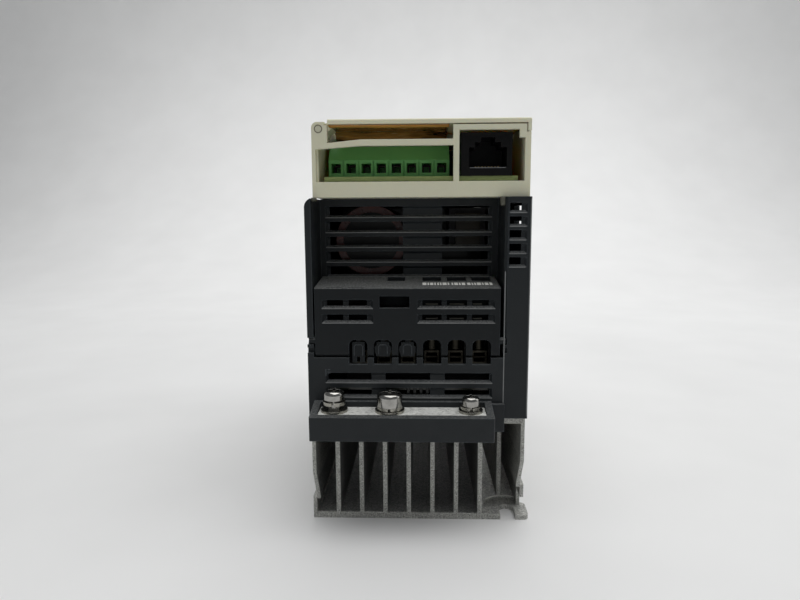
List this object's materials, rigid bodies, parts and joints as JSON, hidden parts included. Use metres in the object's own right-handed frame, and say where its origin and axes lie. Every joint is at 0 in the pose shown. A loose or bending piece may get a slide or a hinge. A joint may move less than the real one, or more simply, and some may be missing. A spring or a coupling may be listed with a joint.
{
  "type": "variable frequency drive",
  "caption": "Compact panel-mounted motor drive with a ribbed heatsink, louvred dark case, hinged terminal cover, ivory control head and hinged front door.",
  "frame": {"origin": "on the mounting face, at the middle of the diagonal between the two mounting holes", "axes": "+X across the width, towards the side with the mounting slot; +Y up the panel, away from the terminals; +Z out of the panel, from the mounting face to the front door"},
  "size_m": [0.072, 0.1451, 0.1304],
  "materials": {
    "heatsink": "die-cast, as cast",
    "power_housing": "fine spark texture",
    "terminal_cover": "fine spark texture",
    "earth_bar_carrier": "fine spark texture",
    "earth_bar": "zinc plated",
    "earth_screws": "nickel plated",
    "earth_screw_large": "nickel plated",
    "flat_washers": "zinc plated",
    "spring_washers": "zinc plated",
    "control_housing": "ivory, fine texture",
    "door_hinge_pins": "ground",
    "front_door": "ivory, fine texture",
    "display_window": "smoked acrylic",
    "control_board": "solder resist",
    "control_board_screws": "zinc plated",
    "control_terminal_block": "green polyamide",
    "control_terminal_screws": "zinc plated",
    "control_terminal_clamps": "tin plated",
    "network_socket": "black polyamide",
    "network_contacts": "gold plated",
    "display_module": "display case",
    "tact_switches": "black",
    "key_enter": "grey key",
    "key_escape": "grey key",
    "key_down": "grey key",
    "key_up": "grey key",
    "microcontroller": "epoxy package",
    "status_lights": "clear red lens",
    "board_link": "solder resist",
    "power_board": "solder resist",
    "board_standoffs": "nickel plated brass",
    "board_screws": "zinc plated",
    "power_module": "epoxy case",
    "thermal_pad": "filled silicone",
    "module_screws": "zinc plated",
    "power_terminal_block": "black polyamide",
    "power_terminal_screws": "nickel plated",
    "power_terminal_clamps": "tinned brass",
    "capacitor_cans": "drawn can",
    "capacitor_sleeves": "shrink sleeve",
    "capacitor_board": "solder resist",
    "transformer_core": "ferrite",
    "transformer_winding": "yellow tape",
    "choke_core": "coated ferrite",
    "choke_winding": "enamelled copper wire",
    "inrush_relay": "black case",
    "film_capacitor": "epoxy dipped"
  },
  "bodies": {
    "chassis": {"heatsink": "heatsink", "power_housing": "power_housing", "earth_bar_carrier": "earth_bar_carrier", "earth_bar": "earth_bar", "earth_screws": "earth_screws", "earth_screw_large": "earth_screw_large", "flat_washers": "flat_washers", "spring_washers": "spring_washers", "control_housing": "control_housing", "door_hinge_pins": "door_hinge_pins", "control_board": "control_board", "control_board_screws": "control_board_screws", "control_terminal_block": "control_terminal_block", "control_terminal_screws": "control_terminal_screws", "control_terminal_clamps": "control_terminal_clamps", "network_socket": "network_socket", "network_contacts": "network_contacts", "display_module": "display_module", "tact_switches": "tact_switches", "microcontroller": "microcontroller", "status_lights": "status_lights", "board_link": "board_link", "power_board": "power_board", "board_standoffs": "board_standoffs", "board_screws": "board_screws", "power_module": "power_module", "thermal_pad": "thermal_pad", "module_screws": "module_screws", "power_terminal_block": "power_terminal_block", "power_terminal_screws": "power_terminal_screws", "power_terminal_clamps": "power_terminal_clamps", "capacitor_cans": "capacitor_cans", "capacitor_sleeves": "capacitor_sleeves", "capacitor_board": "capacitor_board", "transformer_core": "transformer_core", "transformer_winding": "transformer_winding", "choke_core": "choke_core", "choke_winding": "choke_winding", "inrush_relay": "inrush_relay", "film_capacitor": "film_capacitor"},
    "door": {"front_door": "front_door", "display_window": "display_window"},
    "cover": {"terminal_cover": "terminal_cover"},
    "key_enter_body": {"key_enter": "key_enter"},
    "key_escape_body": {"key_escape": "key_escape"},
    "key_down_body": {"key_down": "key_down"},
    "key_up_body": {"key_up": "key_up"}
  },
  "joints": [
    {"name": "door_hinge", "type": "hinge", "parent": "chassis", "child": "door", "pos_m": [-0.0307, 0, 0.1271], "axis": [0, -1, 0], "range_deg": [0, 110]},
    {"name": "cover_hinge", "type": "hinge", "parent": "chassis", "child": "cover", "pos_m": [0, -0.0663, 0.0607], "axis": [1, 0, 0], "range_deg": [0, 95]},
    {"name": "key_enter_press", "type": "slide", "parent": "chassis", "child": "key_enter_body", "axis": [0, 0, -1], "range_m": [0, 0.0008], "stiffness_N_per_m": 400, "springref_m": -0.0005},
    {"name": "key_escape_press", "type": "slide", "parent": "chassis", "child": "key_escape_body", "axis": [0, 0, -1], "range_m": [0, 0.0008], "stiffness_N_per_m": 400, "springref_m": -0.0005},
    {"name": "key_down_press", "type": "slide", "parent": "chassis", "child": "key_down_body", "axis": [0, 0, -1], "range_m": [0, 0.0008], "stiffness_N_per_m": 400, "springref_m": -0.0005},
    {"name": "key_up_press", "type": "slide", "parent": "chassis", "child": "key_up_body", "axis": [0, 0, -1], "range_m": [0, 0.0008], "stiffness_N_per_m": 400, "springref_m": -0.0005}
  ]
}
